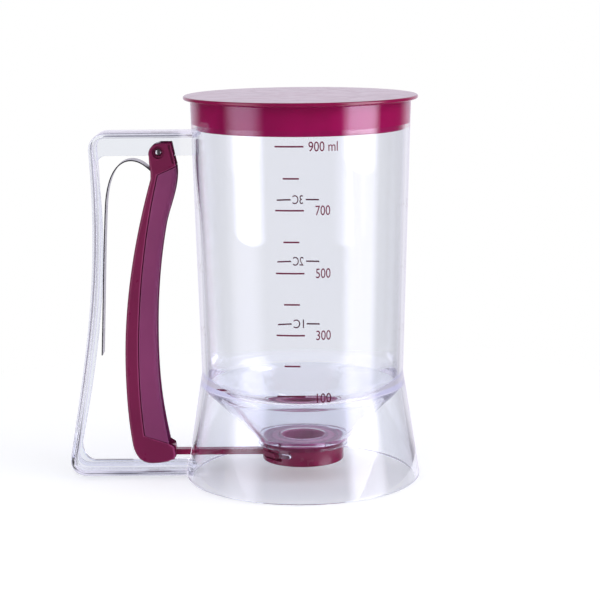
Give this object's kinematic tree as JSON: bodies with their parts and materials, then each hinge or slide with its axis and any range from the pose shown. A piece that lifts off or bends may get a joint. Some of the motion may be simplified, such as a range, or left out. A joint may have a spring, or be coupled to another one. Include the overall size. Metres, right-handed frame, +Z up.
{
  "type": "batter dispenser",
  "caption": "Hand-held batter dispenser: clear jug with funnel floor, plug lid, and a sprung trigger in the handle that draws a slide valve open.",
  "frame": {"origin": "on the jug's axis in the plane that the skirt's foot stands on", "axes": "+Z up along the jug's axis, the handle on -X, +Y away from a viewer who sees the handle on the left"},
  "size_m": [0.1695, 0.1136, 0.185],
  "materials": {
    "magenta_plastic": "gloss",
    "grip_plastic": "satin",
    "clear_plastic": "clear gloss",
    "steel": "satin",
    "silicone": "matte"
  },
  "bodies": {
    "jug": {"jug_barrel": "clear_plastic", "funnel_floor": "clear_plastic", "base_skirt": "clear_plastic", "handle_frame": "clear_plastic", "valve_seat": "magenta_plastic", "outlet_seal": "silicone", "return_spring": "steel"},
    "lid": {"lid": "magenta_plastic"},
    "trigger": {"trigger_lever": "magenta_plastic", "trigger_grip": "grip_plastic", "pivot_pin": "steel"},
    "slide": {"valve_slide": "magenta_plastic"},
    "cup": {"valve_cup": "magenta_plastic"}
  },
  "joints": [
    {"name": "lid_lift", "type": "slide", "parent": "jug", "child": "lid", "axis": [0, 0, 1], "range_m": [0, 0.06]},
    {"name": "trigger_squeeze", "type": "hinge", "parent": "jug", "child": "trigger", "pos_m": [-0.0674, 0, 0.1587], "axis": [0, 1, 0], "range_deg": [0, 6.2], "stiffness_Nm_per_rad": 6, "springref_deg": -4.58, "deforming": ["return_spring"]},
    {"name": "slide_pull", "type": "slide", "parent": "jug", "child": "slide", "axis": [-1, 0, 0], "range_m": [0, 0.016]},
    {"name": "cup_twist", "type": "hinge", "parent": "jug", "child": "cup", "pos_m": [0, 0, 0.013], "axis": [0, 0, 1], "range_deg": [0, 25]}
  ],
  "couplings": [
    {"joint": "slide_pull", "follows": "trigger_squeeze", "m_per_rad": 0.1467}
  ]
}
